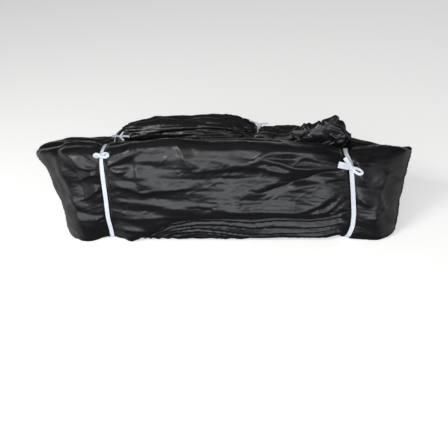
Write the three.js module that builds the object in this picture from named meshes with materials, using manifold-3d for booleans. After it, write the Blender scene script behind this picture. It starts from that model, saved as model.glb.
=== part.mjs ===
// Refill ring of tubular liner film: one endless hose of thin black film, gathered into a tall ring of pleats,
// pressed flat into two long legs and held by four tied white ribbons. Millimetres, +Z up, +X along the legs,
// +Y towards the rear leg. The origin is on the floor under the middle of the ring.
import * as THREE from "three";
import { mergeVertices } from "three/addons/utils/BufferGeometryUtils.js";
import Module from "manifold-3d";

const wasm = await Module();
wasm.setup();

// ---- driving dimensions ----
const LEG_SPACING = 96; // between the centre lines of the front and rear legs
const LEG_HALF_THICKNESS = 32;
const STRAIGHT_HALF = 213; // from the middle to where each bend starts
const BEND_REACH = 45; // how far a bend's centre line runs past the straight
const BEND_SPAN = 72; // the length given to each half bend in ring positions
const LEFT_FLARE = 40; // how much further the top of the left end reaches than its foot
const RIGHT_FLARE = 34;
const END_STARTS = 190; // from the middle to where the flare and the taper begin
const END_LENGTH = 70;
const LEG_ROUNDNESS = 0.56; // 1 gives an elliptical section and 0 a square one
const END_ROUNDNESS = 0.3;
const END_TAPER = 0.3; // share of the width lost at the top of the tips, which makes the ends pointed
const FOOT_SINK = 6; // how much of the rounded underside is pressed flat
const GAP = 0.2; // half the clearance between neighbouring film sections
const RIBBON_WIDTH = 9.5;
const RIBBON_THICKNESS = 0.8;
const RIBBON_CLEARANCE = 0.5;
const SLIVER = 0.02; // detail below this size is dropped from a joined solid
const LOOP_TUCK = 2; // how far a loop starts behind the middle of its knot
const KNOT_SEAT = 7; // from the ribbon's face to the middle of its knot
const LOOP_LIFT = 1.7; // how far a bow's loops and tails stand off the middle of its knot
const WAIST_SQUEEZE = 5; // how far a ribbon draws in each side of a leg
const WAIST_DROP = 4; // how far a ribbon draws down the crest
const WAIST_LIFT = 2.5; // how far a ribbon lifts the film under the leg off the floor
const WAIST_REACH = 24; // how far along the leg the squeeze fades
const WAIST_FLAT = 6.5; // the squeeze is even to this distance either side of a ribbon's middle
const TURN_THICKNESS = 1.6; // the loose outer turn of film over a leg
const TURN_CLEARANCE = 0.5;
const TURN_SPAN = 12; // how many of a section's sides the outer turn covers, from the outer face over the crest
const SECTION_SIDES = 24;
const LEG_STEP = 20; // spacing of the cross sections along a leg
const BEND_STEP = 14;

const LEAN_REACH = 45; // how far along the leg a leaning ribbon carries the film with it
const KNOT_SIZE = [12, 8.4, 11]; // along the bow, out from the film and across the bow
const LOOP_DEPTH = 3;
const LOOP_STRAND = 1.8; // width of the ribbon seen round a loop's eye
const TAIL_WIDTH = 6;
const TAIL_THICKNESS = 1;

const LAST = STRAIGHT_HALF + BEND_SPAN; // ring position at the middle of a bend
const BEND_GAP_DEGREES = 0.36; // keeps the two halves of a bend just apart

// Ring positions of the ribbons, and tables of [ring position, height or distance]: the crest height, and the foot
// reach, which is how much further out the foot of a leg stands than its crest. A lean is a table of
// [height, distance] that says how far a ribbon strays along the leg.
const LEGS = {
  front: {
    side: -1,
    ties: [-189, 204],
    footReach: [[-LAST, 6], [-189, 6], [204, 20], [250, 34], [LAST, 34]],
    crest: [
      ...[[-LAST, 148], [-230, 164], [-205, 169], [-175, 169], [-140, 165], [-80, 173], [-30, 170], [36, 165]],
      ...[[130, 158], [204, 148], [250, 140], [LAST, 127]],
    ],
    leans: [
      [[0, 5], [20, 2], [45, -4], [85, -2], [150, 0], [163, 1], [175, 8]],
      [[0, -4], [6, 3], [28, 9], [52, 10], [87, 7], [131, 2], [150, -9]],
    ],
  },
  rear: {
    side: 1,
    ties: [-193, 62],
    footReach: [[-LAST, 0], [LAST, 0]],
    crest: [
      ...[[-LAST, 146], [-228, 145], [-197, 147], [-171, 172], [-155, 167], [-125, 171], [-57, 175], [-15, 176]],
      ...[[45, 164], [66, 155], [84, 154], [124, 147], [208, 125], [245, 115], [270, 114], [LAST, 125]],
    ],
    leans: [],
  },
};

const filmMaterial = new THREE.MeshStandardMaterial({ color: 0x16161a, roughness: 0.4, metalness: 0 });
const ribbonMaterial = new THREE.MeshStandardMaterial({ color: 0xe8ecf4, roughness: 0.55, metalness: 0 });

// ---- shape of the gathered ring ----
const signedPower = (value, power) => Math.sign(value) * Math.abs(value) ** power;
const smoothStep = (low, high, value) => THREE.MathUtils.smoothstep(value, low, high);

function interpolate(table, at) {
  const beyond = table.findIndex(([position]) => position >= at);
  const next = beyond < 0 ? table.length - 1 : Math.max(1, beyond);
  const [[p0, v0], [p1, v1]] = [table[next - 1], table[next]];
  return THREE.MathUtils.lerp(v0, v1, THREE.MathUtils.clamp((at - p0) / (p1 - p0), 0, 1));
}

// Where the centre line is at a ring position, and which way is outwards there.
function planAt(leg, position) {
  const end = Math.sign(position);
  const half = LEG_SPACING / 2;
  if (Math.abs(position) <= STRAIGHT_HALF)
    return { x: position, y: leg.side * half, nx: 0, ny: leg.side };
  const share = (Math.abs(position) - STRAIGHT_HALF) / BEND_SPAN;
  const turn = THREE.MathUtils.degToRad(Math.min(share * 90, 90 - BEND_GAP_DEGREES));
  const normal = new THREE.Vector2(end * Math.sin(turn) / BEND_REACH, leg.side * Math.cos(turn) / half);
  normal.normalize();
  return {
    x: end * (STRAIGHT_HALF + BEND_REACH * Math.sin(turn)),
    y: leg.side * half * Math.cos(turn),
    nx: normal.x,
    ny: normal.y,
  };
}

// How strongly the nearest ribbon squeezes the leg at a ring position, from 0 to 1.
function squeezeAt(leg, position) {
  const away = Math.min(...leg.ties.map((tie) => Math.abs(position - tie)));
  return Math.exp(-((Math.max(0, away - WAIST_FLAT) / WAIST_REACH) ** 2));
}

// How far a ribbon and the film round it stray along the leg at a ring position and height.
function leanAt(leg, position, height) {
  const shares = leg.leans.map((path, i) => {
    const near = Math.exp(-(((position - leg.ties[i]) / LEAN_REACH) ** 2));
    return near * interpolate(path, height);
  });
  return shares.reduce((sum, share) => sum + share, 0);
}

// A point of the leg's skin: angle 0 faces outwards and a quarter turn is the crest.
function skinPoint(leg, position, angle, offset = 0) {
  const plan = planAt(leg, position);
  const squeeze = squeezeAt(leg, position);
  const crest = interpolate(leg.crest, position) - squeeze * WAIST_DROP + offset;
  const thickness = LEG_HALF_THICKNESS - squeeze * WAIST_SQUEEZE + offset;
  const endward = smoothStep(END_STARTS, END_STARTS + END_LENGTH, Math.abs(plan.x));
  const roundness = THREE.MathUtils.lerp(LEG_ROUNDNESS, END_ROUNDNESS, endward);
  const low = -FOOT_SINK - offset;
  const height = low + (crest - low) * (0.5 + 0.5 * signedPower(Math.sin(angle), roundness));
  const rise = THREE.MathUtils.clamp(height / crest, 0, 1);
  const reach = interpolate(leg.footReach, position);
  const outwards = smoothStep(-0.2, 0.8, Math.cos(angle)) * Math.abs(plan.y) / (LEG_SPACING / 2);
  const out = thickness * signedPower(Math.cos(angle), roundness) + reach * outwards * (1 - rise);
  const x = plan.x + plan.nx * out + leanAt(leg, position, height);
  const flare = (x < 0 ? LEFT_FLARE : RIGHT_FLARE) * endward * rise ** 2;
  const y = (plan.y + plan.ny * out) * (1 - END_TAPER * endward * rise);
  const z = Math.max(height, squeeze * WAIST_LIFT - offset);
  return new THREE.Vector3(x + Math.sign(x) * flare, y, z);
}

// ---- mesh helpers ----
function geometryOf(points, triangles) {
  const geometry = new THREE.BufferGeometry();
  geometry.setAttribute("position", new THREE.Float32BufferAttribute(points.flatMap((p) => [p.x, p.y, p.z]), 3));
  geometry.setIndex(triangles.flat());
  return geometry;
}

// Skins a row of rings that have the same number of points. Without closed, each end gets a fan about its middle.
function loft(rings, closed = false) {
  const sides = rings[0].length;
  const points = rings.flat();
  const triangles = [];
  const spans = closed ? rings.length : rings.length - 1;
  for (let r = 0; r < spans; r++)
    for (let i = 0; i < sides; i++) {
      const [a, b] = [r * sides + i, r * sides + ((i + 1) % sides)];
      const next = ((r + 1) % rings.length) * sides;
      const [c, d] = [next + ((i + 1) % sides), next + i];
      triangles.push([a, b, c], [a, c, d]);
    }
  if (!closed)
    for (const [ring, turned] of [[0, true], [rings.length - 1, false]]) {
      const middle = points.length;
      points.push(rings[ring].reduce((sum, p) => sum.clone().add(p)).divideScalar(sides));
      for (let i = 0; i < sides; i++) {
        const edge = [ring * sides + i, ring * sides + ((i + 1) % sides)];
        triangles.push(turned ? [middle, edge[1], edge[0]] : [middle, ...edge]);
      }
    }
  return geometryOf(points, triangles);
}

function solidOf(geometry) {
  const bare = geometry.index ? geometry.toNonIndexed() : geometry.clone();
  for (const name of Object.keys(bare.attributes)) if (name !== "position") bare.deleteAttribute(name);
  const merged = mergeVertices(bare, 1e-3);
  return new wasm.Manifold(new wasm.Mesh({
    numProp: 3,
    vertProperties: merged.attributes.position.array,
    triVerts: new Uint32Array(merged.index.array),
  }));
}

function geometryOfSolid(solid) {
  const mesh = solid.getMesh();
  const geometry = new THREE.BufferGeometry();
  geometry.setAttribute("position", new THREE.BufferAttribute(mesh.vertProperties, 3));
  geometry.setIndex(new THREE.BufferAttribute(mesh.triVerts, 1));
  return geometry;
}

// A closed mesh facing out, whichever way its rings ran.
function facingOut(geometry) {
  const solid = solidOf(geometry);
  if (solid.volume() > 0) return geometry;
  const index = geometry.index.array;
  for (let i = 0; i < index.length; i += 3) [index[i + 1], index[i + 2]] = [index[i + 2], index[i + 1]];
  return geometry;
}

const spaced = (from, to, step) => {
  const count = Math.max(2, Math.round(Math.abs(to - from) / step));
  return Array.from({ length: count + 1 }, (_, i) => from + ((to - from) * i) / count);
};

const SECTION_ANGLES = Array.from({ length: SECTION_SIDES }, (_, i) => ((i + 0.5) * 2 * Math.PI) / SECTION_SIDES);

// ---- film ----
function filmSection(leg, from, to, step) {
  const flats = leg.ties.flatMap((tie) => [tie - WAIST_FLAT, tie + WAIST_FLAT]).filter((p) => p > from && p < to);
  const stops = [from, ...flats, to];
  const positions = stops.slice(1).flatMap((stop, i) => spaced(stops[i], stop, step).slice(i ? 1 : 0));
  return facingOut(loft(positions.map((p) => SECTION_ANGLES.map((a) => skinPoint(leg, p, a)))));
}

// The loose outer turn: a thin shell over the crest, down to the given angles on the outer and inner faces.
function outerTurn(leg, from, to) {
  const angles = SECTION_ANGLES.slice(0, TURN_SPAN);
  const rings = spaced(from, to, LEG_STEP).map((p) => [
    ...angles.map((a) => skinPoint(leg, p, a, TURN_CLEARANCE)),
    ...angles.toReversed().map((a) => skinPoint(leg, p, a, TURN_CLEARANCE + TURN_THICKNESS)),
  ]);
  const sides = rings[0].length;
  const points = rings.flat();
  const triangles = [];
  for (let r = 0; r + 1 < rings.length; r++)
    for (let i = 0; i < sides; i++) {
      const [a, b] = [r * sides + i, r * sides + ((i + 1) % sides)];
      triangles.push([a, b, b + sides], [a, b + sides, a + sides]);
    }
  for (const [start, turned] of [[0, true], [(rings.length - 1) * sides, false]])
    for (let i = 0; i + 1 < angles.length; i++) {
      const quad = [start + i, start + i + 1, start + sides - 2 - i, start + sides - 1 - i];
      if (turned) quad.reverse();
      triangles.push([quad[0], quad[1], quad[2]], [quad[0], quad[2], quad[3]]);
    }
  return facingOut(geometryOf(points, triangles));
}

// The loose leading end of the hose: a long crumpled tuft standing in the slot between the legs.
const FREE_END_MIDDLE = 2; // from the middle of the slot towards the rear leg
const FREE_END_ROUNDNESS = 0.8;
const FREE_END_SECTIONS = [
  { x: 44, top: 150, foot: 116, half: 6 },
  { x: 60, top: 161, foot: 106, half: 10 },
  { x: 92, top: 158, foot: 98, half: 11 },
  { x: 118, top: 165, foot: 94, half: 12 },
  { x: 134, top: 175, foot: 92, half: 13 },
  { x: 148, top: 172, foot: 92, half: 12 },
  { x: 168, top: 180, foot: 92, half: 13 },
  { x: 184, top: 189, foot: 92, half: 13 },
  { x: 203, top: 174, foot: 94, half: 11 },
  { x: 216, top: 154, foot: 100, half: 6 },
];
function freeEnd() {
  const sides = 16;
  return facingOut(loft(FREE_END_SECTIONS.map(({ x, top, foot, half }) =>
    Array.from({ length: sides }, (_, i) => {
      const angle = (i * 2 * Math.PI) / sides;
      return new THREE.Vector3(
        x,
        FREE_END_MIDDLE + half * signedPower(Math.cos(angle), FREE_END_ROUNDNESS),
        THREE.MathUtils.lerp(foot, top, 0.5 + 0.5 * signedPower(Math.sin(angle), FREE_END_ROUNDNESS)),
      );
    }))));
}

// ---- ribbons ----
function ribbonBand(leg, tie) {
  const rings = SECTION_ANGLES.map((angle) => {
    const at = (shift, offset) => skinPoint(leg, tie + shift, angle, offset);
    const [near, far] = [RIBBON_CLEARANCE, RIBBON_CLEARANCE + RIBBON_THICKNESS];
    return [
      at(-RIBBON_WIDTH / 2, near),
      at(RIBBON_WIDTH / 2, near),
      at(RIBBON_WIDTH / 2, far),
      at(-RIBBON_WIDTH / 2, far),
    ];
  });
  return facingOut(loft(rings, true));
}

// A knot with its loops and cut tails, flat against local XZ and standing out along -Y.
function bow({ loops, tails }) {
  const knot = new THREE.SphereGeometry(0.5, 12, 8).scale(...KNOT_SIZE);
  let solid = solidOf(knot);
  for (const { length, width, turn } of loops) {
    const middle = length / 2 - LOOP_TUCK;
    const outline = new THREE.Shape().absellipse(middle, 0, length / 2, width / 2, 0, 2 * Math.PI);
    const [eyeLength, eyeWidth] = [length / 2 - LOOP_STRAND, width / 2 - LOOP_STRAND];
    const eye = new THREE.Path().absellipse(middle, 0, eyeLength, eyeWidth, 0, 2 * Math.PI, true);
    outline.holes.push(eye);
    const loop = new THREE.ExtrudeGeometry(outline, { depth: LOOP_DEPTH, bevelEnabled: false, curveSegments: 8 });
    loop.translate(0, 0, LOOP_LIFT).rotateX(Math.PI / 2).rotateY(-turn);
    solid = solid.add(solidOf(loop));
  }
  for (const { length, turn } of tails) {
    const tail = new THREE.BoxGeometry(length, TAIL_THICKNESS, TAIL_WIDTH);
    tail.translate(length / 2, -LOOP_LIFT - TAIL_THICKNESS, 0).rotateY(-turn);
    solid = solid.add(solidOf(tail));
  }
  return geometryOfSolid(solid.simplify(SLIVER));
}

// ---- assembly ----
const part = new THREE.Group();

function add(name, geometry, material) {
  const mesh = new THREE.Mesh(geometry, material);
  mesh.name = name;
  part.add(mesh);
  return mesh;
}

for (const [legName, leg] of Object.entries(LEGS)) {
  const [left, right] = leg.ties;
  add(`left_bend_${legName}`, filmSection(leg, -LAST, left - GAP, BEND_STEP), filmMaterial);
  add(`${legName}_pleat_stack`, filmSection(leg, left + GAP, right - GAP, LEG_STEP), filmMaterial);
  add(`right_bend_${legName}`, filmSection(leg, right + GAP, LAST, BEND_STEP), filmMaterial);
  add(`${legName}_outer_turn`, outerTurn(leg, left + WAIST_FLAT, right - WAIST_FLAT), filmMaterial);
}

add("free_end", freeEnd(), filmMaterial);

// Each bow sits at an angle round its ribbon, from the outer face over the crest.
const BOWS = [
  {
    name: "front_left",
    leg: LEGS.front,
    tie: 0,
    angle: 1,
    loops: [{ length: 15, width: 8, turn: -0.1 }, { length: 9, width: 7, turn: Math.PI }],
    tails: [],
  },
  {
    name: "front_right",
    leg: LEGS.front,
    tie: 1,
    angle: 0.65,
    loops: [{ length: 18, width: 9, turn: -0.5 }],
    tails: [{ length: 14, turn: 2.9 }, { length: 11, turn: 2.2 }],
  },
  {
    name: "rear_left",
    leg: LEGS.rear,
    tie: 0,
    angle: 2.2,
    loops: [{ length: 22, width: 6, turn: 0 }],
    tails: [{ length: 12, turn: 0.9 }, { length: 10, turn: -0.9 }],
  },
  {
    name: "rear_right",
    leg: LEGS.rear,
    tie: 1,
    angle: 1.95,
    loops: [{ length: 15, width: 8, turn: -0.3 }],
    tails: [{ length: 12, turn: 2.6 }, { length: 12, turn: -1.8 }],
  },
];

for (const { name, leg, tie, angle, loops, tails } of BOWS) {
  const position = leg.ties[tie];
  add(`tie_${name}_band`, ribbonBand(leg, position), ribbonMaterial);
  const out = RIBBON_CLEARANCE + RIBBON_THICKNESS + KNOT_SEAT;
  const seat = skinPoint(leg, position, angle, out);
  const outwards = seat.clone().sub(skinPoint(leg, position, angle, 0)).normalize();
  const knot = add(`tie_${name}_bow`, bow({ loops, tails }), ribbonMaterial);
  knot.position.copy(seat);
  knot.quaternion.setFromUnitVectors(new THREE.Vector3(0, -1, 0), outwards);
}

// Puts the origin on the floor under the middle of the whole part.
const bounds = new THREE.Box3().setFromObject(part);
part.position.set(-(bounds.min.x + bounds.max.x) / 2, -(bounds.min.y + bounds.max.y) / 2, -bounds.min.z);

export default part;
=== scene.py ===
# The looks of the refill ring: gathered black film, its loose outer turns and free end, and four ribbons.
import math

import bmesh
import bpy
import numpy as np
from mathutils import Matrix, Vector


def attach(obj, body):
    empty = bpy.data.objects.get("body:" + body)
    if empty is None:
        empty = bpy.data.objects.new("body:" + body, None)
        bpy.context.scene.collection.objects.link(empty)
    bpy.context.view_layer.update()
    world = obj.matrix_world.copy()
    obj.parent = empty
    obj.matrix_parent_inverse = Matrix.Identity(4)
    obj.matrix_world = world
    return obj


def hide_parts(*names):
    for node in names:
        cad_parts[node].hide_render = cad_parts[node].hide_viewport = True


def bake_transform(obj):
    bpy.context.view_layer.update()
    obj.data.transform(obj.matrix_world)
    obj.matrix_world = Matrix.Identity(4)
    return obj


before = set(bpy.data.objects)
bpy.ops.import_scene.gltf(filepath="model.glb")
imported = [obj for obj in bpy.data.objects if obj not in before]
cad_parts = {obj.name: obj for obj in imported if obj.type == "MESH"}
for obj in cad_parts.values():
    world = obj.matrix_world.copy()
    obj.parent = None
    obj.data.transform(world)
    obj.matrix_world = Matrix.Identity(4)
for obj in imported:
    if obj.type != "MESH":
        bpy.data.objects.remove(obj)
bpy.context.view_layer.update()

MM = 0.001

# ---- driving dimensions, in millimetres ----
# They start from those of the CAD. The left flare, the waists under the ribbons and the crests near the ends
# were then changed to look like the photo.
ORIGIN_SHIFT = (2.7, 5.7, 0)  # from the middle between the legs to the middle of the whole part
LEG_SPACING = 96
LEG_HALF_THICKNESS = 32
STRAIGHT_HALF = 213
BEND_REACH = 45
BEND_SPAN = 72
LAST = STRAIGHT_HALF + BEND_SPAN
LEFT_FLARE = 37
RIGHT_FLARE = 34
END_STARTS = 190
END_LENGTH = 70
END_TAPER = 0.3
FOOT_SINK = 6
LEG_ROUNDNESS = 0.56
END_ROUNDNESS = 0.3
WAIST_REACH = 24
WAIST_FLAT = 4
WAIST_SQUEEZE = 6
WAIST_DROP = 4
FOOT_PINCH = 0.45  # how much rounder a leg's foot is under its ribbon
LEAN_REACH = 45
FLOOR_CLEARANCE = 0.5
GIRTH = 470  # about how far it is round a leg, which sets the number of columns
SECTION_SAMPLES = 541

# Tables of (ring position, height or distance). Leans are (height, distance along the leg) for each ribbon.
FRONT = {
    "side": -1,
    "ties": (-189, 204),
    "foot_reach": ((-LAST, 0), (-189, 2), (204, 20), (250, 34), (LAST, 34)),
    "crest": ((-LAST, 148), (-LAST + 6, 148), (-230, 164), (-205, 169), (-175, 169), (-140, 165), (-80, 173),
              (-30, 170), (36, 165), (130, 158), (204, 148), (250, 140), (LAST - 6, 127), (LAST, 127)),
    "leans": (
        ((0, -6), (20, -4), (45, -4), (85, -2), (150, 0), (163, 1), (175, 8)),
        ((0, -4), (6, 3), (28, 9), (52, 10), (87, 7), (131, 2), (150, -9)),
    ),
}
REAR = {
    "side": 1,
    "ties": (-193, 62),
    "foot_reach": ((-LAST, 0), (LAST, 0)),
    "crest": ((-LAST, 148), (-LAST + 6, 148), (-228, 145), (-197, 147), (-171, 172), (-155, 167), (-125, 171),
              (-57, 175), (-15, 176), (45, 164), (66, 155), (84, 154), (124, 147), (208, 125), (245, 115),
              (262, 116), (LAST - 6, 127), (LAST, 127)),
    "leans": (),
}


# ---- small mathematics ----
def signed_power(value, power):
    return np.sign(value) * np.abs(value) ** power


def smooth_step(low, high, value):
    share = np.clip((value - low) / (high - low), 0, 1)
    return share * share * (3 - 2 * share)


def smooth_path(points, at, softness=5):
    """A rounded line through (place, value) points, read at the given places."""
    places, values = zip(*points)
    fine = np.linspace(places[0], places[-1], 400)
    width = max(1, int(softness / (fine[1] - fine[0])))
    box = np.ones(2 * width + 1) / (2 * width + 1)
    rounded = np.convolve(np.pad(np.interp(fine, places, values), width, mode="edge"), box, mode="valid")
    return np.interp(at, fine, rounded)


def cubic_step(a, b, c, d, share):
    """A smooth step from b to c, which heads on from a and towards d."""
    bend = 2 * a - 5 * b + 4 * c - d + share * (3 * (b - c) + d - a)
    return b + 0.5 * share * (c - a + share * bend)


def smooth_curve(points, count):
    """A smooth curve through the points, as evenly spaced places."""
    points = np.asarray(points, float)
    at = np.linspace(0, len(points) - 1, 40 * len(points))
    low = np.clip(np.floor(at).astype(int), 0, len(points) - 2)
    last = len(points) - 1
    corners = [points[np.clip(low + k, 0, last)] for k in (-1, 0, 1, 2)]
    curve = cubic_step(*corners, (at - low)[:, None])
    run = np.concatenate([[0], np.cumsum(np.linalg.norm(np.diff(curve, axis=0), axis=1))])
    wanted = np.linspace(0, run[-1], count)
    return np.stack([np.interp(wanted, run, curve[:, i]) for i in range(curve.shape[1])], -1)


def random_field(coordinates, lengths, seed, waves=28):
    """A smooth random field, about 1 high, whose features have the given lengths along each coordinate."""
    draw = np.random.default_rng(seed)
    total = np.zeros(np.shape(coordinates[0]))
    for _ in range(waves):
        wave = draw.uniform(0, 2 * math.pi)
        for coordinate, length in zip(coordinates, lengths):
            wave = wave + coordinate * draw.normal() * 2.2 / length
        total += np.cos(wave)
    return total * math.sqrt(2 / waves)


def creases(coordinates, lengths, seed, sharpness=0.25):
    """Thin sharp ridges where a random field changes sign, 1 at the ridge and 0 between."""
    field = random_field(coordinates, lengths, seed)
    return np.exp(-np.abs(field) / sharpness)


def crumple(points, seed, sizes):
    """Facets with sharp folds between, as in crushed film, about 1 high, in random directions."""
    draw = np.random.default_rng(seed)
    total = np.zeros(points.shape[:-1])
    coordinates = np.moveaxis(points, -1, 0)
    warp = np.stack([random_field(coordinates, (40, 40, 40), seed + k, 12) for k in range(3)], -1)
    warped = points + 5 * warp
    weight = 0
    for size in sizes:
        for _ in range(4):
            direction = draw.normal(size=3)
            direction /= np.linalg.norm(direction)
            phase = warped @ direction / size + draw.uniform()
            share = size / sizes[0]
            total += share * (2 * np.abs(2 * (phase - np.floor(phase + 0.5))) - 1)
            weight += share
    return total / weight * 2


# ---- shape of the gathered ring ----
def squeeze_at(leg, position):
    away = np.min([np.abs(position - tie) for tie in leg["ties"]], axis=0)
    return np.exp(-((np.maximum(0, away - WAIST_FLAT) / WAIST_REACH) ** 2))


def lean_at(leg, position, height):
    total = np.zeros(np.shape(height))
    for tie, path in zip(leg["ties"], leg["leans"]):
        total = total + np.exp(-(((position - tie) / LEAN_REACH) ** 2)) * smooth_path(path, height)
    return total


def skin(leg, position, angle):
    """Points on a leg's skin for arrays of ring positions and section angles. Angle 0 faces outwards."""
    side = leg["side"]
    half = LEG_SPACING / 2
    end = np.sign(position)
    turn = np.clip((np.abs(position) - STRAIGHT_HALF) / BEND_SPAN, 0, 1) * math.pi / 2
    plan_x = np.where(turn > 0, end * (STRAIGHT_HALF + BEND_REACH * np.sin(turn)), position)
    plan_y = side * half * np.cos(turn)
    nx, ny = end * np.sin(turn) / BEND_REACH, side * np.cos(turn) / half
    length = np.hypot(nx, ny)
    nx, ny = nx / length, ny / length
    squeeze = squeeze_at(leg, position)
    crest = smooth_path(leg["crest"], position) - squeeze * WAIST_DROP
    endward = smooth_step(END_STARTS, END_STARTS + END_LENGTH, np.abs(plan_x))
    roundness = LEG_ROUNDNESS + (END_ROUNDNESS - LEG_ROUNDNESS) * endward
    roundness = roundness + FOOT_PINCH * squeeze * smooth_step(0, -0.6, np.sin(angle))
    height = -FOOT_SINK + (crest + FOOT_SINK) * (0.5 + 0.5 * signed_power(np.sin(angle), roundness))
    rise = np.clip(height / crest, 0, 1)
    reach = smooth_path(leg["foot_reach"], position) * smooth_step(-0.2, 0.8, np.cos(angle)) * np.cos(turn)
    half_width = LEG_HALF_THICKNESS - squeeze * WAIST_SQUEEZE
    out = half_width * signed_power(np.cos(angle), roundness) + reach * (1 - rise)
    x = plan_x + nx * out + lean_at(leg, position, height)
    flare = np.where(x < 0, LEFT_FLARE, RIGHT_FLARE) * endward * rise ** 2
    y = (plan_y + ny * out) * (1 - END_TAPER * endward * rise)
    return np.stack([x + np.sign(x) * flare, y, np.maximum(height, FLOOR_CLEARANCE)], -1)


def section_rings(leg, positions, count):
    """Sections with evenly spaced points, from the middle of the outer face over the crest and round."""
    angles = np.linspace(0, 2 * math.pi, SECTION_SAMPLES)
    rings = []
    for position in positions:
        ring = skin(leg, np.full_like(angles, position), angles)
        run = np.concatenate([[0], np.cumsum(np.linalg.norm(np.diff(ring, axis=0), axis=1))])
        wanted = np.linspace(0, run[-1], count, endpoint=False)
        rings.append(np.stack([np.interp(wanted, run, ring[:, i]) for i in range(3)], -1))
    return np.array(rings)


class FilmGrid:
    """The whole skin as a closed grid: rows run round the ring, and columns run round each section."""

    def __init__(self, step):
        half = int(round(2 * LAST / step))
        self.place = np.linspace(-LAST, LAST, half, endpoint=False)
        self.columns = int(round(GIRTH / step))
        front = section_rings(FRONT, self.place, self.columns)
        rear = section_rings(REAR, -self.place, self.columns)
        self.points = np.concatenate([front, rear])
        self.rows = 2 * half
        self.is_front = np.arange(self.rows) < half
        self.position = np.concatenate([self.place, -self.place])
        self.outward = self.facing()

    def cross(self, points):
        """Normals of the skin, of any length and not yet turned outwards."""
        along = np.roll(points, -1, 0) - np.roll(points, 1, 0)
        around = np.roll(points, -1, 1) - np.roll(points, 1, 1)
        return np.cross(along, around)

    def facing(self):
        """1 if the cross products point outwards, and -1 if they point inwards."""
        away = self.points - self.points.mean(1, keepdims=True)
        return np.sign(np.sum(self.cross(self.points) * away))

    def normals(self, points=None):
        """Outward directions of length 1, on this skin or on other points of the same grid."""
        normal = self.cross(self.points if points is None else points)
        return self.outward * normal / (np.linalg.norm(normal, axis=-1, keepdims=True) + 1e-9)

    def away_from_tie(self):
        """How far each row is from the nearest ribbon, along the ring."""
        nearest = [np.min(np.abs(position - np.array((FRONT if front else REAR)["ties"])))
                   for position, front in zip(self.position, self.is_front)]
        return np.array(nearest)[:, None]

    def row_of(self, leg, position):
        """The row nearest to a place along a leg."""
        half = self.rows // 2
        place = position if leg is FRONT else -position
        return int(np.argmin(np.abs(self.place - place))) + (0 if leg is FRONT else half)


# ---- large folds drawn on the front leg ----
# Each fold is a line of (x, z) points, how far it stands out (below 0 is a valley), and how far it reaches to
# its left and right, as seen going along the line: left is above a line that goes along x.
FRONT_FOLDS = (
    # out of the left tie
    (((-184, 152), (-155, 158), (-125, 163), (-95, 166), (-66, 172)), 5.0, 7, 4),
    (((-70, 178), (-58, 162), (-51, 146), (-46, 132)), 3.2, 22, 6),
    (((-180, 143), (-166, 148), (-147, 154), (-126, 160)), 6.5, 11, 4),
    (((-180, 146), (-170, 136), (-158, 134), (-142, 138)), 5.0, 5, 3),
    (((-184, 114), (-150, 107), (-127, 98), (-100, 101), (-45, 105)), 7.5, 13, 4),
    (((-132, 156), (-130, 124), (-125, 102)), 3.0, 26, 6),
    (((-182, 84), (-125, 77), (-50, 70)), 2.5, 7, 8),
    (((-186, 51), (-150, 49), (-107, 51), (-42, 53)), 4.0, 5, 3),
    (((-180, 28), (-150, 24), (-120, 22)), 3.5, 6, 3),
    # the middle
    (((-100, 66), (-40, 60), (20, 60), (70, 66)), 5.0, 52, 8),
    (((-40, 132), (0, 134), (52, 137), (99, 127), (140, 126)), 5.0, 24, 4),
    # out of the right tie
    (((52, 143), (71, 150), (90, 153), (140, 150), (182, 145)), 5.5, 6, 4),
    (((58, 143), (75, 145), (100, 139), (130, 131), (198, 128)), 6.0, 6, 3),
    (((115, 138), (135, 145), (165, 139), (198, 131)), 4.5, 5, 3),
    (((73, 96), (119, 109), (160, 122), (198, 126)), -5.0, 6, 6),
    (((-10, 68), (30, 64), (80, 62), (135, 63), (172, 80), (198, 106)), 9.0, 30, 5),
    (((110, 98), (150, 106), (180, 112), (200, 118)), 4.0, 8, 10),
    (((150, 56), (170, 60), (186, 72), (200, 88)), 4.5, 7, 3),
    (((175, 52), (188, 58), (202, 70)), 3.5, 5, 3),
    # along the rim
    (((-30, 160), (40, 158), (120, 152), (198, 142)), 3.5, 8, 5),
    (((-120, 172), (-60, 176), (0, 170), (60, 162)), 3.0, 6, 5),
    # round the left end
    (((-262, 162), (-240, 154), (-222, 140), (-198, 139)), 8.0, 20, 4),
    (((-268, 150), (-252, 100), (-240, 50), (-234, 15)), 7.0, 16, 16),
    (((-240, 136), (-228, 96), (-222, 50)), -5.0, 9, 9),
    (((-232, 116), (-216, 126), (-196, 130)), 5.0, 6, 4),
    (((-226, 84), (-210, 96), (-196, 104)), 5.0, 6, 4),
    (((-216, 44), (-204, 50), (-196, 50)), 4.0, 5, 3),
    # round the right end
    (((212, 136), (223, 120), (234, 94)), 5.0, 4, 13),
    (((212, 132), (226, 130), (244, 130)), 4.5, 9, 3),
    (((210, 84), (224, 74), (240, 60)), 4.0, 8, 3),
    (((268, 120), (256, 80), (250, 50), (246, 20)), 5.0, 8, 16),
    (((256, 70), (262, 54), (252, 44), (236, 42)), 4.0, 5, 5),
)


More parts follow.
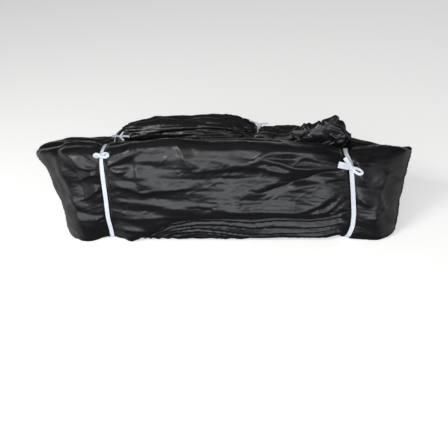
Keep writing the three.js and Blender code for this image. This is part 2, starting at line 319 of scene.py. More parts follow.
def fold_height(x, z, path, rise, left, right):
    """How far one fold stands out at each point: sharp at its line, fading to both sides and at its ends."""
    line = smooth_curve(path, 40)
    run = np.gradient(line, axis=0)
    spacing = np.linalg.norm(run, axis=1)
    run /= spacing[:, None]
    away_x, away_z = x[:, None] - line[:, 0], z[:, None] - line[:, 1]
    near = np.argmin(np.hypot(away_x, away_z), 1)
    each = np.arange(len(x))
    away_x, away_z = away_x[each, near], away_z[each, near]
    beside = run[near, 0] * away_z - run[near, 1] * away_x
    beyond = run[near, 0] * away_x + run[near, 1] * away_z
    share = (near + beyond / spacing[near]) / (len(line) - 1)
    distance = np.hypot(beside, np.where((share < 0) | (share > 1), beyond, 0))
    share = np.clip(share, 0, 1)
    fade = smooth_step(-0.12, 0.15, share) * (1 - smooth_step(0.7, 1.1, share))
    return rise * fade * np.exp(-(distance / np.where(beside > 0, left, right)) ** 1.15)


def drawn_folds(grid):
    """How far each point of the skin stands out because of the large folds, in millimetres."""
    x, y, z = np.moveaxis(grid.points, -1, 0)
    bend = smooth_step(186, 215, np.abs(x))
    shown = grid.is_front[:, None] * smooth_step(-30, -50, y - 15 * bend)
    height = np.zeros_like(x)
    facing = shown > 0
    for fold in FRONT_FOLDS:
        height[facing] += fold_height(x[facing], z[facing], *fold)
    return height * shown * smooth_step(2, 9, grid.away_from_tie())


# ---- fine folds added after the film has settled ----
# The loose hem of the front outer turn, as (place along the leg, height above the floor).
FRONT_HEM = ((-170, -6), (-142, 12), (-109, 30), (-86, 42), (-42, 50), (0, 50), (50, 46), (90, 50), (140, 50),
             (175, 54), (210, 60))
REAR_HEM = 96
NARROW_PLEAT = 7.6
WIDE_PLEAT = 12.2
GROOVE_DEPTH = 1.6  # how far a ribbon presses the film in
GROOVE_REACH = 5.0
PLEAT_MIDDLE = 0.6  # about the mean of pleats, taken off so that they don't swell the film


def hem_height(x):
    return smooth_path(FRONT_HEM, x)


def pleats(across, along, seed, pitch, warp, softness=0.02):
    """Stacked pleats: rounded fronts with sharp dark gaps between, which wander a little."""
    wander = warp * random_field((along, across), (120, 30), seed)
    wander = wander + 0.4 * warp * random_field((along, across), (35, 14), seed + 1)
    return np.sqrt(np.abs(np.sin(math.pi * (across + wander) / pitch)) + softness)


def stacked_pleats(down, along, seed, warp):
    """Pleats that lie on each other like shingles, one for each unit of down, with short undersides."""
    wander = warp * random_field((along, 40 * down), (110, 40), seed)
    share = (down + wander) % 1
    return np.where(share < 0.8, (share / 0.8) ** 0.8, np.sqrt((1 - share) / 0.2))


class FoldPlaces:
    """Where each point of the skin is, and how far it belongs to each part of the pack, from 0 to 1."""

    def __init__(self, grid, points):
        self.x, self.y, self.z = np.moveaxis(points, -1, 0)
        self.side = np.sign(self.x)
        self.away = grid.away_from_tie()
        self.front = grid.is_front[:, None]
        self.position = grid.position[:, None] + np.zeros_like(self.x)
        self.face = self.front * smooth_step(-50, -64, self.y)
        self.end = smooth_step(186, 232, np.abs(self.x))
        along = smooth_step(-165, -140, self.x) * smooth_step(200, 192, self.x)
        self.under_hem = smooth_step(6, 0, self.z - hem_height(self.x)) * along * self.face


def stack_under_hem(at):
    """The stack of pleats that shows under the hem."""
    pitch = NARROW_PLEAT + (WIDE_PLEAT - NARROW_PLEAT) * smooth_step(-60, 140, at.x)
    stack = stacked_pleats((hem_height(at.x) - at.z) / pitch, at.x, seed=11, warp=0.14)
    height = at.under_hem * (0.42 * pitch * (stack - 1) - 2.4)
    return height + at.under_hem * 0.7 * creases((at.x + 0.3 * at.z, at.z), (16, 22), seed=13, sharpness=0.2)


def gathers(at):
    """Gathers that run out of each ribbon, strongest beside it."""
    reach = 30 - 14 * at.end
    strength = np.exp(-at.away / reach) * smooth_step(3.5, 10, at.away)
    wander = 7 * random_field((at.x, at.y, at.z), (70, 60, 50), seed=21)
    slant = at.z + 0.5 * at.side * (np.abs(at.position) - 190) + wander
    shown = at.face * (1 - at.end)
    large = 3.0 - 1.6 * shown - 1.4 * at.end
    small = 1.3 - 0.5 * shown - 0.7 * at.end
    height = large * (pleats(slant, at.position, seed=23, pitch=17, warp=4) - PLEAT_MIDDLE)
    height += small * (pleats(slant + 3, at.position, seed=25, pitch=7.5, warp=2.5) - PLEAT_MIDDLE)
    return strength * height


def crest_folds(at):
    """Long fine folds along the rear crest."""
    crest = (~at.front) * smooth_step(95, 125, at.z) * (1 - at.end) * smooth_step(10, 34, at.away)
    across = at.z + 0.5 * at.y
    height = 1.9 * (pleats(across, at.x, seed=31, pitch=12, warp=4) - PLEAT_MIDDLE)
    height += pleats(across, at.x, seed=33, pitch=5.5, warp=2) - PLEAT_MIDDLE
    return crest * height


def end_folds(at):
    """Upright folds and creases round the two ends."""
    tall = at.end * smooth_step(12, 40, at.away) * (1 - 0.6 * smooth_step(95, 130, at.z))
    run = np.where(at.front, 1, -1) * (np.abs(at.position) - LAST) * at.side
    height = 4.0 * (pleats(run + 0.2 * at.z, at.z, seed=41, pitch=34, warp=10, softness=0.25) - 0.75)
    height += 2.0 * random_field((run, at.z), (30, 70), seed=43)
    height += 1.2 * creases((run, at.z), (24, 60), seed=45, sharpness=0.25)
    return tall * height


def facets(at):
    """Broad flat facets, and short crossing creases everywhere."""
    stretched = np.stack([0.42 * at.x, at.y, at.z], -1)
    height = 2.6 * (1 - at.under_hem) * crumple(stretched, seed=61, sizes=(46, 24))
    calm = 1 - 0.7 * at.under_hem - 0.6 * at.end
    level = creases((at.x, at.y, 1.6 * at.z), (60, 60, 26), seed=51, sharpness=0.10) - 0.2
    slanted = (at.x + at.z, at.y, 1.8 * at.z - 0.6 * at.x)
    slanting = creases(slanted, (34, 34, 18), seed=53, sharpness=0.12) - 0.2
    return height + calm * (0.8 * level + 0.5 * slanting)


def crushed_middle(at):
    """Slanting ripples and a crushed spot in the middle of the front face."""
    x, z = at.x, at.z
    middle = at.face * np.exp(-(((x - 5) / 90) ** 2 + ((z - 88) / 46) ** 2))
    ripple = z - 0.62 * x + 5 * random_field((x, z), (45, 30), seed=57)
    patchy = smooth_step(-0.3, 0.8, random_field((x, z), (40, 24), seed=59))
    ripple = ripple * (1 + 0.12 * random_field((x, z), (60, 40), seed=63))
    height = middle * patchy * 0.6 * np.sin(2 * math.pi * ripple / 8.5)
    spot = at.face * np.exp(-(((x - 22) / 30) ** 2 + ((z - 74) / 18) ** 2))
    return height + spot * 1.5 * crumple(np.stack([x, at.y, z], -1), seed=55, sizes=(26, 15))


def fine_folds(grid, points):
    """How far the small folds move each point outwards, in millimetres."""
    at = FoldPlaces(grid, points)
    height = stack_under_hem(at) + gathers(at) + crest_folds(at)
    height += end_folds(at) + facets(at) + crushed_middle(at)
    # The film lies close under each ribbon, in a groove.
    height *= 0.15 + 0.85 * smooth_step(3, 10, at.away)
    return height - GROOVE_DEPTH * np.exp(-((at.away / GROOVE_REACH) ** 2))


# ---- meshes ----
def to_frame(points):
    return (np.asarray(points) + ORIGIN_SHIFT) * MM


def mesh_piece(name, points, faces, surface):
    """A smooth piece from points in millimetres about the middle between the legs."""
    mesh = bpy.data.meshes.new(name)
    mesh.from_pydata([tuple(p) for p in to_frame(points)], [], [tuple(int(i) for i in f) for f in faces])
    mesh.validate()
    mesh.update()
    piece = bpy.data.objects.new(name, mesh)
    bpy.context.scene.collection.objects.link(piece)
    mesh.shade_smooth()
    mesh.materials.append(surface)
    return piece


def grid_faces(rows, columns, wrap_rows=False, wrap_columns=False, first=0):
    """Four-cornered faces over a grid of points whose numbers start at first."""
    r = np.arange(rows if wrap_rows else rows - 1)
    c = np.arange(columns if wrap_columns else columns - 1)
    rr, cc = np.meshgrid(r, c, indexing="ij")
    r2, c2 = (rr + 1) % rows, (cc + 1) % columns
    corners = (rr * columns + cc, rr * columns + c2, r2 * columns + c2, r2 * columns + cc)
    return first + np.stack(corners, -1).reshape(-1, 4)


def closed_tube(rings, first=0):
    """Points and faces of rings skinned into one closed tube, with a fan over each end."""
    count, columns = rings.shape[:2]
    faces = grid_faces(count, columns, wrap_columns=True, first=first).tolist()
    start = first + count * columns
    end = start + 1
    last = first + (count - 1) * columns
    for c in range(columns):
        d = (c + 1) % columns
        faces.append((start, first + d, first + c))
        faces.append((end, last + c, last + d))
    middles = [rings[0].mean(0), rings[-1].mean(0)]
    return np.concatenate([rings.reshape(-1, 3), middles]), faces


def tube_piece(name, rings, surface):
    points, faces = closed_tube(rings)
    return mesh_piece(name, points, faces, surface)


def sheet_piece(name, outer, inner, surface):
    """A thin sheet between two grids of points that lie face to face."""
    rows, columns = outer.shape[:2]
    size = rows * columns
    faces = grid_faces(rows, columns).tolist()
    faces += grid_faces(rows, columns, first=size)[:, ::-1].tolist()
    rim = [(0, c) for c in range(columns)] + [(r, columns - 1) for r in range(1, rows)]
    rim += [(rows - 1, c) for c in range(columns - 2, -1, -1)] + [(r, 0) for r in range(rows - 2, 0, -1)]
    edge = [r * columns + c for r, c in rim]
    for a, b in zip(edge, edge[1:] + edge[:1]):
        faces.append((b, a, a + size, b + size))
    return mesh_piece(name, np.concatenate([outer.reshape(-1, 3), inner.reshape(-1, 3)]), faces, surface)


def face_outwards(piece):
    """Turns the faces of a closed piece the same way out."""
    work = bmesh.new()
    work.from_mesh(piece.data)
    bmesh.ops.recalc_face_normals(work, faces=work.faces)
    work.to_mesh(piece.data)
    work.free()


# ---- materials ----
def new_material(name):
    """A material, with its nodes and links."""
    made = bpy.data.materials.new(name)
    made.use_nodes = True
    return made, made.node_tree.nodes, made.node_tree.links


def noise(nodes, links, scale, detail, stretch=(1, 1, 1)):
    """A noise texture in object space, stretched along the axes where stretch is small."""
    place = nodes.new("ShaderNodeTexCoord")
    mapping = nodes.new("ShaderNodeMapping")
    mapping.inputs["Scale"].default_value = stretch
    texture = nodes.new("ShaderNodeTexNoise")
    texture.inputs["Scale"].default_value = scale
    texture.inputs["Detail"].default_value = detail
    links.new(place.outputs["Object"], mapping.inputs["Vector"])
    links.new(mapping.outputs["Vector"], texture.inputs["Vector"])
    return texture.outputs["Fac"]


def ranged(nodes, links, value, low, high):
    """A value from 0 to 1 brought to the range from low to high."""
    step = nodes.new("ShaderNodeMapRange")
    step.inputs["To Min"].default_value = low
    step.inputs["To Max"].default_value = high
    links.new(value, step.inputs["Value"])
    return step.outputs["Result"]


def film_material():
    made, nodes, links = new_material("black_film")
    shader = nodes["Principled BSDF"]
    shader.inputs["IOR"].default_value = 1.5
    shader.inputs["Specular IOR Level"].default_value = 0.35
    cloud = noise(nodes, links, 14, 3, (0.6, 1, 1))
    colour = nodes.new("ShaderNodeMix")
    colour.data_type = "RGBA"
    colour.inputs["A"].default_value = (0.0035, 0.0035, 0.0042, 1)
    colour.inputs["B"].default_value = (0.0085, 0.0085, 0.011, 1)
    links.new(cloud, colour.inputs["Factor"])
    links.new(colour.outputs["Result"], shader.inputs["Base Color"])
    links.new(ranged(nodes, links, noise(nodes, links, 60, 4), 0.22, 0.42), shader.inputs["Roughness"])
    crinkle = nodes.new("ShaderNodeBump")
    crinkle.inputs["Strength"].default_value = 0.35
    crinkle.inputs["Distance"].default_value = 0.0012
    links.new(noise(nodes, links, 130, 5, (0.45, 1, 1)), crinkle.inputs["Height"])
    links.new(crinkle.outputs["Normal"], shader.inputs["Normal"])
    return made


def ribbon_material():
    made, nodes, links = new_material("white_ribbon")
    shader = nodes["Principled BSDF"]
    shader.inputs["Roughness"].default_value = 0.45
    shader.inputs["Sheen Weight"].default_value = 0.15
    tint = nodes.new("ShaderNodeMix")
    tint.data_type = "RGBA"
    tint.inputs["A"].default_value = (0.46, 0.50, 0.58, 1)
    tint.inputs["B"].default_value = (0.60, 0.63, 0.68, 1)
    links.new(noise(nodes, links, 90, 3), tint.inputs["Factor"])
    links.new(tint.outputs["Result"], shader.inputs["Base Color"])
    weave = nodes.new("ShaderNodeTexWave")
    weave.inputs["Scale"].default_value = 420
    weave.inputs["Distortion"].default_value = 1.5
    place = nodes.new("ShaderNodeTexCoord")
    links.new(place.outputs["Object"], weave.inputs["Vector"])
    ribs = nodes.new("ShaderNodeBump")
    ribs.inputs["Strength"].default_value = 0.25
    ribs.inputs["Distance"].default_value = 0.0004
    links.new(weave.outputs["Fac"], ribs.inputs["Height"])
    links.new(ribs.outputs["Normal"], shader.inputs["Normal"])
    return made


FILM = film_material()
RIBBON = ribbon_material()


# ---- the film settles ----
SETTLE_FRAMES = 14
GIRTH_SLACK = 1.10
LENGTH_SLACK = 0.99
HOLD = 0.14
END_HOLD = 0.5
FRONT_SHARE = 0.25  # how much of the settling is kept where the large folds are drawn
END_SHARE = 0.4
MOST_SHIFT = 7
COARSE_STEP = 3.6
FINE_STEP = 1.8


def settle(piece, pressed, hold):
    """Presses a slack film into shape, so that the excess buckles. hold is how firmly each point is led."""
    group = piece.vertex_groups.new(name="hold")
    levels = np.round(hold, 2)
    for level in np.unique(levels):
        group.add(np.flatnonzero(levels == level).tolist(), float(level), "REPLACE")
    piece.shape_key_add(name="slack")
    key = piece.shape_key_add(name="pressed")
    key.data.foreach_set("co", np.asarray(pressed, float).ravel())
    key.value = 0
    key.keyframe_insert("value", frame=1)
    key.value = 1
    key.keyframe_insert("value", frame=SETTLE_FRAMES // 2)
    modifier = piece.modifiers.new("cloth", "CLOTH")
    settings = modifier.settings
    settings.vertex_group_mass = "hold"
    settings.pin_stiffness = 1
    settings.quality = 5
    settings.mass = 0.01
    settings.tension_stiffness = 15
    settings.compression_stiffness = 15
    settings.shear_stiffness = 6
    settings.bending_stiffness = 0.3
    settings.effector_weights.gravity = 0
    modifier.collision_settings.use_collision = False
    modifier.point_cache.frame_start = 1
    modifier.point_cache.frame_end = SETTLE_FRAMES + 1
    scene = bpy.context.scene
    for number in range(1, SETTLE_FRAMES + 1):
        scene.frame_set(number)
    evaluated = piece.evaluated_get(bpy.context.evaluated_depsgraph_get())
    flat = np.empty(len(piece.data.vertices) * 3)
    evaluated.data.vertices.foreach_get("co", flat)
    scene.frame_set(1)
    return flat.reshape(-1, 3)


def settled_shift(coarse, shape):
    """How far the settling moves each point of the coarse grid from its pressed place, in millimetres."""
    centre = coarse.points.mean(1, keepdims=True)
    slack = centre + (coarse.points - centre) * GIRTH_SLACK
    slack[..., 0] *= LENGTH_SLACK
    end = smooth_step(190, 240, np.abs(coarse.points[..., 0]))
    hold = HOLD + (END_HOLD - HOLD) * end
    hold[coarse.away_from_tie()[:, 0] < 4.5] = 1
    pressed = shape + np.random.default_rng(7).normal(0, 0.12, shape.shape)
    faces = grid_faces(coarse.rows, coarse.columns, True, True)
    sheet = mesh_piece("settling_film", slack.reshape(-1, 3), faces, FILM)
    settled = settle(sheet, to_frame(pressed.reshape(-1, 3)), hold.ravel())
    bpy.data.objects.remove(sheet)
    shift = settled.reshape(shape.shape) / MM - ORIGIN_SHIFT - shape
    length = np.linalg.norm(shift, axis=-1, keepdims=True)
    shift = shift * np.minimum(1, MOST_SHIFT / np.maximum(length, 1e-6))
    front = coarse.is_front[:, None] * smooth_step(-30, -55, coarse.points[..., 1])
    share = (1 - (1 - FRONT_SHARE) * front) * (1 - (1 - END_SHARE) * end)
    share = share * smooth_step(3, 12, coarse.away_from_tie())
    return shift * share[..., None]


def resample(values, rows, columns):
    """A periodic grid of values read at another spacing, with smooth cubic steps between."""
    def along(array, count):
        size = array.shape[0]
        at = np.arange(count) * size / count
        low = np.floor(at).astype(int)
        share = (at - low).reshape(-1, *([1] * (array.ndim - 1)))
        corners = [array[(low + k) % size] for k in (-1, 0, 1, 2)]
        return cubic_step(*corners, share)

    there = along(values, rows)
    return np.swapaxes(along(np.swapaxes(there, 0, 1), columns), 0, 1)


def make_film():
    """The finished skin of the whole ring, on the fine grid, in millimetres."""
    fine = FilmGrid(FINE_STEP)
    shape = fine.points
    coarse = FilmGrid(COARSE_STEP)
    shape = shape + resample(settled_shift(coarse, coarse.points), fine.rows, fine.columns)
    shape = shape + fine.normals() * (drawn_folds(fine) + fine_folds(fine, shape))[..., None]
    shape[..., 2] = np.maximum(shape[..., 2], FLOOR_CLEARANCE)
    return fine, shape


film_grid, film_points = make_film()


# ---- the film cut into pieces ----
SEAM_ROWS = 1  # rows left out at each ribbon, which hides the seam
TURN_THICKNESS = 0.8
TURN_LIFT = 0.25
HEM_LIFT = 3.6  # how far the hem of the outer turn stands off the film under it
HEM_ROLL = 12  # height over which the hem stands off
HEM_FADE = 30  # length over which it comes back to the film at each ribbon
TURN_END = 0.45  # share of the girth at which the outer turn tucks in behind the leg
TURN_COLUMNS = 130
TURN_MARGIN = 3  # rows left out at each end of the outer turn
LOWEST_HEM = 1.5


def rows_between(first, last):
    count = (last - first) % film_grid.rows + 1
    return (first + np.arange(count)) % film_grid.rows


def film_piece(name, first, last):
    return tube_piece(name, film_points[rows_between(first, last)], FILM)


def outer_turn(name, first, last, low_height):
    """The loose outer turn of a leg: it starts at low_height on the outer face and goes over the crest."""
    rows = rows_between(first + TURN_MARGIN, last - TURN_MARGIN)
    normals = film_grid.normals(film_points)
    quarter = film_grid.columns // 4
    at = np.arange(film_grid.columns)
    outer, inner = [], []
    for number, row in enumerate(rows):
        section = np.roll(film_points[row], quarter, 0)
        normal = np.roll(normals[row], quarter, 0)
        hem = max(low_height(section[quarter, 0]), LOWEST_HEM)
        face = np.arange(quarter // 4, quarter * 2)
        start = np.interp(hem, np.maximum.accumulate(section[face, 2]), face)
        wanted = np.linspace(start, quarter + TURN_END * film_grid.columns, TURN_COLUMNS)
        place = np.stack([np.interp(wanted, at, section[:, i]) for i in range(3)], -1)
        out = np.stack([np.interp(wanted, at, normal[:, i]) for i in range(3)], -1)
        from_end = min(number, len(rows) - 1 - number) * FINE_STEP
        roll = HEM_LIFT * smooth_step(0, HEM_FADE, from_end)
        roll = roll * np.exp(-(wanted - start) * FINE_STEP / HEM_ROLL)
        lift = TURN_LIFT + roll[:, None]
        outer.append(place + out * (lift + TURN_THICKNESS))
        inner.append(place + out * lift)
    outer, inner = np.array(outer), np.array(inner)
    outer[..., 2] = np.maximum(outer[..., 2], FLOOR_CLEARANCE / 2)
    inner[..., 2] = np.maximum(inner[..., 2], FLOOR_CLEARANCE)
    return sheet_piece(name, outer, inner, FILM)


# The rows under the four ribbons: front left, front right, rear left and rear right.
FL, FR = (film_grid.row_of(FRONT, tie) for tie in FRONT["ties"])
RL, RR = (film_grid.row_of(REAR, tie) for tie in REAR["ties"])

front_leg = film_piece("front_leg_film", FL + SEAM_ROWS, FR - SEAM_ROWS)
right_end = film_piece("right_end_film", FR, RR)
rear_leg = film_piece("rear_leg_film", RR + SEAM_ROWS, RL - SEAM_ROWS)
left_end = film_piece("left_end_film", RL, FL)
front_turn = outer_turn("front_turn_film", FL, FR, hem_height)
rear_turn = outer_turn("rear_turn_film", RR, RL, lambda x: REAR_HEM)

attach(front_leg, "front")
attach(front_turn, "front")
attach(rear_leg, "rear")
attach(rear_turn, "rear")
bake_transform(left_end)
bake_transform(right_end)
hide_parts("front_pleat_stack")
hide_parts("front_outer_turn")
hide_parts("rear_pleat_stack")
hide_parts("rear_outer_turn")
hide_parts("left_bend_front", "left_bend_rear")
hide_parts("right_bend_front", "right_bend_rear")


# ---- the crumpled free end ----
# Sections across the slot: place along the leg, top and foot heights, and half width.
FREE_END_MIDDLE = 2
FREE_END_SECTIONS = (
    (44, 148, 116, 4), (60, 160, 106, 9), (76, 161, 100, 10), (92, 157, 98, 10), (118, 163, 94, 11),
    (134, 175, 92, 12), (148, 171, 92, 11), (166, 178, 92, 12), (180, 187, 92, 12), (201, 172, 94, 10),
    (216, 152, 100, 5),
)
FREE_END_STEP = 1.1
FREE_END_COLUMNS = 170
CRUMPLE_DEPTH = 4.2


def free_end_rings():
    places, tops, feet, halves = (np.array(column, float) for column in zip(*FREE_END_SECTIONS))
    x = np.arange(places[0], places[-1] + 0.1, FREE_END_STEP)
    top, foot, half = (smooth_path(tuple(zip(places, values)), x, 3) for values in (tops, feet, halves))
    angles = np.linspace(0, 2 * math.pi, FREE_END_COLUMNS, endpoint=False)
    across = signed_power(np.cos(angles), 0.8)
    up = 0.5 + 0.5 * signed_power(np.sin(angles), 0.8)
    y = FREE_END_MIDDLE + half[:, None] * across
    z = foot[:, None] + (top - foot)[:, None] * up
    rings = np.stack([np.broadcast_to(x[:, None], y.shape), y, z], -1)
    centre = rings.mean(1, keepdims=True)
    away = rings - centre
    away /= np.linalg.norm(away, axis=-1, keepdims=True) + 1e-9
    ends = smooth_step(0, 10, x - x[0]) * smooth_step(0, 10, x[-1] - x)
    upper = smooth_step(110, 150, z)
    depth = CRUMPLE_DEPTH * ends[:, None] * (0.35 + 0.65 * upper)
    crushed = crumple(rings, seed=71, sizes=(34, 19, 10)) + 0.45 * crumple(rings, seed=75, sizes=(13, 8))
    rings = rings + away * (depth * crushed)[..., None] * np.array((1, 0.8, 1))
    sway = random_field(np.moveaxis(rings, -1, 0), (20, 20, 16), seed=73)
    rings[..., 0] += 5 * ends[:, None] * upper * sway
    return rings


free_end = tube_piece("free_end_film", free_end_rings(), FILM)
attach(free_end, "free_end")
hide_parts("free_end")


# ---- ribbons ----
RIBBON_WIDTH = 7
RIBBON_THICKNESS = 0.6
RIBBON_SEAT = 0.25  # gap between the ribbon and the film it presses
SUNK_SEAT = -2.5  # the same where the film's folds close over the ribbon


def strip_rings(centres, across, thickness, closed=False):
    """Flat oval sections along a ribbon. across gives each section's half width as a vector."""
    if closed:
        along = np.roll(centres, -1, 0) - np.roll(centres, 1, 0)
    else:
        along = np.gradient(centres, axis=0)
    out = np.cross(along, across)
    out /= np.linalg.norm(out, axis=1, keepdims=True) + 1e-9
    angles = np.linspace(0, 2 * math.pi, 20, endpoint=False)
    side = signed_power(np.cos(angles), 0.5)[None, :, None]
    face = signed_power(np.sin(angles), 0.5)[None, :, None]
    curl = 0.35 * (side ** 2)
    return centres[:, None] + across[:, None] * side + out[:, None] * (face * thickness / 2 - curl)


def band_rings(leg, tie):
    """The ribbon round a leg, on the skin that it draws in."""
    section = section_rings(leg, [tie], 240)[0]
    near, far = section_rings(leg, [tie - 2, tie + 2], 240)
    along = (far - near) / np.linalg.norm(far - near, axis=1, keepdims=True)
    run = np.roll(section, -1, 0) - np.roll(section, 1, 0)
    out = np.cross(along, run)
    out /= np.linalg.norm(out, axis=1, keepdims=True)
    out *= np.sign(np.sum(out * (section - section.mean(0)), axis=1))[:, None]
    across = np.cross(run, out)
    across /= np.linalg.norm(across, axis=1, keepdims=True)
    height = section[:, 2]
    pinch = 1 - 0.25 * smooth_step(130, 165, height)
    inner = smooth_step(-8, 4, LEG_SPACING / 2 - section[:, 1])
    sunk = smooth_step(118, 132, height) * (leg is REAR) * inner
    seat = RIBBON_SEAT + (SUNK_SEAT - RIBBON_SEAT) * sunk
    centres = section + out * (seat + RIBBON_THICKNESS / 2)[:, None]
    centres[:, 2] = np.maximum(centres[:, 2], RIBBON_THICKNESS)
    rings = strip_rings(centres, across * (RIBBON_WIDTH / 2 * pinch)[:, None], RIBBON_THICKNESS, closed=True)
    rings[..., 2] = np.maximum(rings[..., 2], 0)
    return rings


def closed_band(name, leg, tie):
    rings = band_rings(leg, tie)
    faces = grid_faces(len(rings), rings.shape[1], True, True)
    piece = mesh_piece(name, rings.reshape(-1, 3), faces, RIBBON)
    face_outwards(piece)
    return piece


def strand(width, *points):
    return points, width


# Each bow is drawn about its knot, in millimetres: along the leg, up the film and out from it. A strand is
# its width and the points that it runs through.
BOWS = {
    "front_left": {
        "leg": FRONT, "tie": 0, "shift": 0, "angle": 1.0, "knot": (4.4, 4.2, 3.2),
        "loops": (
            strand(4.8, (0, 0, 2), (4, 2, 4), (9, 2.8, 6), (13, 0, 7), (9, -2.8, 6), (4, -2, 4), (0, 0, 2)),
            strand(4.8, (0, 0, 2), (-4, 1.6, 4), (-7, 2.2, 5), (-9.5, 0, 6), (-7, -2.2, 5), (-4, -1.6, 4),
                   (0, 0, 2)),
        ),
        "tails": (),
    },
    "front_right": {
        "leg": FRONT, "tie": 1, "shift": 0, "angle": 0.65, "knot": (4.0, 3.6, 3.0),
        "loops": (
            strand(4.2, (0, 0, 2), (6, -1, 5), (12, -3.5, 7), (16, -8, 7), (12, -10, 6), (5, -6, 5),
                   (0, 0, 2)),
        ),
        "tails": (
            strand(10, (0, 0, 3), (-6, 2, 5.5), (-13, 4, 8.5), (-21, 6, 10)),
            strand(6, (0, 0, 3), (-4, 6, 5), (-8, 12, 7), (-11, 16, 7)),
        ),
    },
    "rear_left": {
        "leg": REAR, "tie": 0, "shift": 4, "angle": 1.9, "knot": (3.4, 2.8, 2.8),
        "loops": (),
        "tails": (
            strand(3.6, (0, 0, 3), (6, -3, 7), (13, -7, 12), (21, -7.5, 13.5), (29, -9, 13.5)),
            strand(4.5, (0, 0, 3), (-3, 0, 4), (-6, 0, 4)),
            strand(3.2, (11, -8, 12), (14, -5, 14), (18, 0, 15)),
            strand(3.2, (11, -8, 12), (15, -11, 12.5), (19, -15, 12)),
        ),
    },
    "rear_right": {
        "leg": REAR, "tie": 1, "shift": 2, "angle": 1.5, "knot": (3.6, 3.0, 2.6),
        "loops": (
            strand(3.6, (0, 0, 2), (6, 0, 3), (11, 0, 3.5), (14, -2, 3.5), (11, -4, 3), (5, -3, 3),
                   (0, 0, 2)),
        ),
        "tails": (
            strand(5.5, (0, 0, 2), (-5, 0, 5), (-11, 1, 8), (-18, 2, 11)),
        ),
    },
}
LOOP_TILT = math.radians(72)  # how far a loop's ribbon leans over from standing on its edge
STRAND_LIFT = 1.4  # how far the loops and tails are moved out, clear of the film


def bow_axes(bow):
    """The knot's place and its three directions: along the leg, up the film and out from it."""
    leg, angle = bow["leg"], bow["angle"]
    place = float(leg["ties"][bow["tie"]] + bow["shift"])
    here, above = (skin(leg, np.array([place]), np.array([a]))[0] for a in (angle, angle + 0.05))
    along = np.array((1.0, 0, 0))
    up = (above - here) * np.sign(above[2] - here[2])
    up -= along * up[0]
    up /= np.linalg.norm(up)
    out = np.cross(up, along)
    out *= np.sign(np.dot(out, here - section_rings(leg, [place], 60)[0].mean(0)))
    return here, np.stack([along, up, out])


def knot_rings(place, axes, size):
    """The knot: a tight lumpy wrap of ribbon across the band."""
    turns = np.linspace(0, math.pi, 22)
    angles = np.linspace(0, 2 * math.pi, 28, endpoint=False)
    girth = np.sin(turns) ** 0.6
    lumps = 1 + 0.12 * np.cos(3 * angles)[None] + 0.10 * np.sin(turns[:, None] * 5 + angles[None] * 2)
    up = size[1] * girth[:, None] * np.cos(angles) * lumps
    out = size[2] * (girth[:, None] * np.sin(angles) * lumps + 0.9)
    along = np.broadcast_to(-size[0] * np.cos(turns)[:, None], up.shape)
    return place + np.stack([along, up, out], -1) @ axes


def strand_rings(place, axes, points, width):
    """A flat strand of ribbon. Its flat side faces out from the film."""
    local = smooth_curve(points, 26)
    local[:, 2] += STRAND_LIFT
    across = np.cross(np.gradient(local, axis=0), (0, 0, 1.0))
    across /= np.linalg.norm(across, axis=1, keepdims=True) + 1e-9
    half = width / 2 * (0.45 + 0.55 * smooth_step(-0.1, 0.35, np.linspace(0, 1, len(local))))
    return strip_rings(place + local @ axes, (across * half[:, None]) @ axes, RIBBON_THICKNESS)


def loop_rings(place, axes, points, width):
    """A loop of ribbon that leans over from standing on its edge, so that its flat side and eye show."""
    local = smooth_curve(points, 44)
    local[:, 2] += STRAND_LIFT
    flat = np.cross(np.gradient(local, axis=0), (0, 0, 1.0))
    flat /= np.linalg.norm(flat, axis=1, keepdims=True) + 1e-9
    across = math.cos(LOOP_TILT) * np.array((0, 0, 1.0)) + math.sin(LOOP_TILT) * flat
    return strip_rings(place + local @ axes, (across * width / 2) @ axes, RIBBON_THICKNESS)


def joined(name, tubes, surface):
    """Several closed tubes as one piece."""
    points, faces, first = [], [], 0
    for rings in tubes:
        tube_points, tube_faces = closed_tube(rings, first)
        points.append(tube_points)
        faces += tube_faces
        first += len(tube_points)
    piece = mesh_piece(name, np.concatenate(points), faces, surface)
    face_outwards(piece)
    return piece


def make_ribbon(name, bow):
    leg = bow["leg"]
    body = "front" if leg is FRONT else "rear"
    band = closed_band(f"ribbon_{name}_band", leg, leg["ties"][bow["tie"]])
    place, axes = bow_axes(bow)
    tubes = [knot_rings(place, axes, bow["knot"])]
    tubes += [loop_rings(place, axes, points, width) for points, width in bow["loops"]]
    tubes += [strand_rings(place, axes, points, width) for points, width in bow["tails"]]
    knot = joined(f"ribbon_{name}_bow", tubes, RIBBON)
    for piece, node in ((band, f"tie_{name}_band"), (knot, f"tie_{name}_bow")):
        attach(piece, body)
        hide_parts(node)


for bow_name, bow_shape in BOWS.items():
    make_ribbon(bow_name, bow_shape)


# ---- stage, light and camera ----
FLOOR_HALF = 40000
FLOOR_HEIGHT = -0.5
SQUARE = ((-1, -1), (1, -1), (1, 1), (-1, 1))
# The studio's brightness by height and by side, as stops of (direction from -1 to 1, brightness). ONLY_BELOW
# limits the brightness by side to the lower half.
BY_HEIGHT = ((-1, 0.05), (-0.3, 0.06), (-0.03, 0.7), (0.08, 0.75), (0.28, 0.35), (0.42, 0.05), (1, 0.03))
BY_SIDE = ((-1, 0.9), (-0.8, 0.65), (-0.55, 0), (0.6, 0), (0.85, 0.5), (1, 0.6))
ONLY_BELOW = ((-1, 1), (-0.15, 1), (0, 0), (1, 0))
LENS = 50.4
SENSOR_WIDTH = 36
CAMERA_PLACE = (102.6, -980.0, 550.7)
CAMERA_TURNS = (-6.31, 29.71, -4.30)  # degrees to the right, down and over


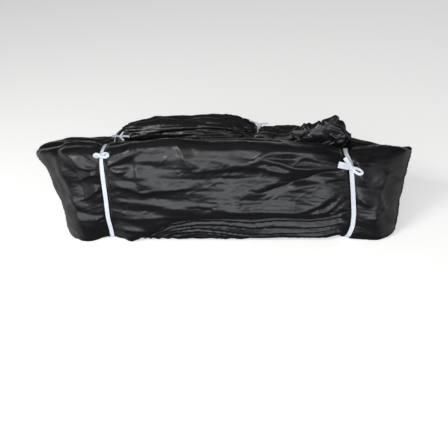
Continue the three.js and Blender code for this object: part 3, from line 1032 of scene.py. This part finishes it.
def make_stage():
    """A pale floor that the glossy film doesn't mirror."""
    corners = [(side * FLOOR_HALF, end * FLOOR_HALF, FLOOR_HEIGHT) for side, end in SQUARE]
    floor = mesh_piece("floor", corners, [(0, 1, 2, 3)], floor_material())
    floor.visible_glossy = False


def floor_material():
    made, nodes, _ = new_material("pale_floor")
    shader = nodes["Principled BSDF"]
    shader.inputs["Base Color"].default_value = (0.8, 0.8, 0.8, 1)
    shader.inputs["Roughness"].default_value = 0.9
    shader.inputs["Specular IOR Level"].default_value = 0.1
    shader.inputs["Emission Color"].default_value = (1, 1, 1, 1)
    shader.inputs["Emission Strength"].default_value = 0.5
    return made


def ramp_of(nodes, links, value, stops):
    """A brightness that runs through the (value from -1 to 1, brightness) stops."""
    scaled = nodes.new("ShaderNodeMapRange")
    scaled.inputs["From Min"].default_value = -1
    links.new(value, scaled.inputs["Value"])
    ramp = nodes.new("ShaderNodeValToRGB")
    links.new(scaled.outputs["Result"], ramp.inputs["Fac"])
    elements = ramp.color_ramp.elements
    elements[0].color = (*[stops[0][1]] * 3, 1)
    elements[1].color = (*[stops[-1][1]] * 3, 1)
    for place, bright in stops[1:-1]:
        elements.new((place + 1) / 2).color = (bright, bright, bright, 1)
    return ramp.outputs["Color"]


def make_world():
    """A studio that is bright near the horizon, dim overhead, and brighter below at its two sides."""
    world = bpy.data.worlds.new("studio")
    world.use_nodes = True
    nodes, links = world.node_tree.nodes, world.node_tree.links
    place = nodes.new("ShaderNodeTexCoord")
    split = nodes.new("ShaderNodeSeparateXYZ")
    links.new(place.outputs["Generated"], split.inputs["Vector"])
    height = ramp_of(nodes, links, split.outputs["Z"], BY_HEIGHT)
    sides = ramp_of(nodes, links, split.outputs["X"], BY_SIDE)
    low = ramp_of(nodes, links, split.outputs["Z"], ONLY_BELOW)
    low_sides = nodes.new("ShaderNodeMix")
    low_sides.data_type = "RGBA"
    low_sides.blend_type = "MULTIPLY"
    low_sides.inputs["Factor"].default_value = 1
    total = nodes.new("ShaderNodeMix")
    total.data_type = "RGBA"
    total.blend_type = "ADD"
    total.inputs["Factor"].default_value = 1
    links.new(sides, low_sides.inputs["A"])
    links.new(low, low_sides.inputs["B"])
    links.new(height, total.inputs["A"])
    links.new(low_sides.outputs["Result"], total.inputs["B"])
    links.new(total.outputs["Result"], nodes["Background"].inputs["Color"])
    bpy.context.scene.world = world


def area_light(name, place, target, size, power, colour):
    """A softbox that faces its target. Places and sizes are in metres."""
    data = bpy.data.lights.new(name, "AREA")
    data.shape = "RECTANGLE"
    data.size, data.size_y = size
    data.energy = power
    data.color = colour
    light = bpy.data.objects.new(name, data)
    light.location = place
    light.rotation_euler = (Vector(target) - Vector(place)).to_track_quat("-Z", "Y").to_euler()
    bpy.context.scene.collection.objects.link(light)


def make_lights():
    """A wide softbox in front, a small key light at the left, and two weak ones above."""
    bpy.context.scene.view_settings.view_transform = "Standard"
    area_light("front_softbox", (-0.3, -2.2, 0.62), (0, 0, 0.1), (2.6, 1.1), 36, (0.92, 0.96, 1))
    area_light("key_softbox", (-0.95, -1.15, 1.3), (0, 0, 0.12), (0.7, 0.5), 18, (1, 0.98, 0.94))
    area_light("upper_softbox", (0, -1.75, 1.45), (0, 0, 0.12), (2.4, 0.75), 8, (1, 0.98, 0.93))
    area_light("overhead_softbox", (0, 0.4, 2.4), (0, 0.3, 0), (2.4, 2.4), 4, (1, 1, 1))


def make_camera():
    """The camera of the photo, as fitted to the edges of the carton."""
    data = bpy.data.cameras.new("camera")
    data.sensor_width = SENSOR_WIDTH
    data.lens = LENS
    camera = bpy.data.objects.new("camera", data)
    yaw, pitch, roll = (math.radians(turn) for turn in CAMERA_TURNS)
    flat = math.cos(pitch)
    forward = Vector((math.sin(yaw) * flat, math.cos(yaw) * flat, -math.sin(pitch)))
    level = Vector((math.cos(yaw), -math.sin(yaw), 0))
    lift = level.cross(forward)
    right = math.cos(roll) * level + math.sin(roll) * lift
    up = -math.sin(roll) * level + math.cos(roll) * lift
    turn = Matrix((right, up, -forward)).transposed()
    place = Vector(to_frame(CAMERA_PLACE))
    camera.matrix_world = Matrix.Translation(place) @ turn.to_4x4()
    bpy.context.scene.collection.objects.link(camera)
    bpy.context.scene.camera = camera


make_stage()
make_world()
make_lights()
make_camera()
